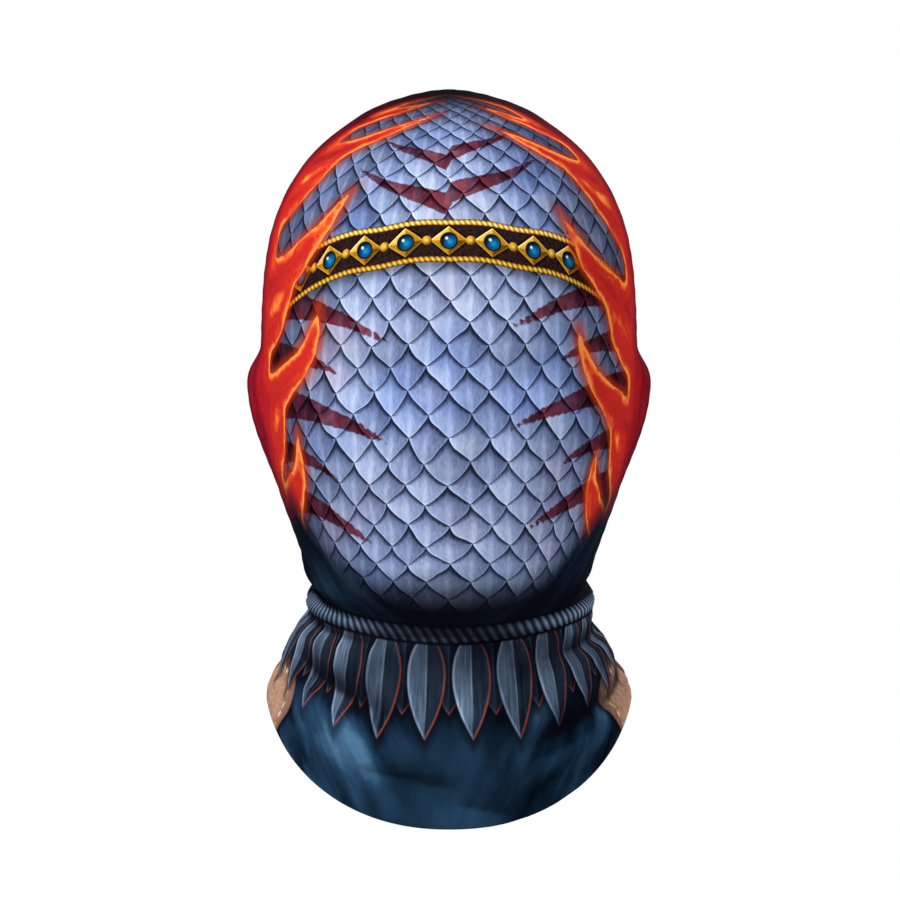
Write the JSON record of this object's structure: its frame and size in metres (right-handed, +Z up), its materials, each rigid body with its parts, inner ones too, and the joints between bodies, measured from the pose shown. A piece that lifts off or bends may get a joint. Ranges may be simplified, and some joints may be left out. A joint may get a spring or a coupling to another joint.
{
  "type": "full-head cloth mask",
  "caption": "Pull-on hood of printed stretch knit that covers the whole head, the neck and the collar, in its worn form: hollow, open at the hem, with gathers at the neck.",
  "frame": {"origin": "the point inside the crown that rests on the top of the head", "axes": "+Z up out of the crown; the face looks along -Y; +X is the wearer's left; the side seam lies in the plane y = 0"},
  "size_m": [0.1756, 0.2122, 0.3219],
  "materials": {
    "front_print": "matte printed stretch knit, unprinted inside",
    "back_print": "matte printed stretch knit, unprinted inside"
  },
  "bodies": {
    "root": {"front_panel": "front_print", "back_panel": "back_print"}
  },
  "joints": []
}
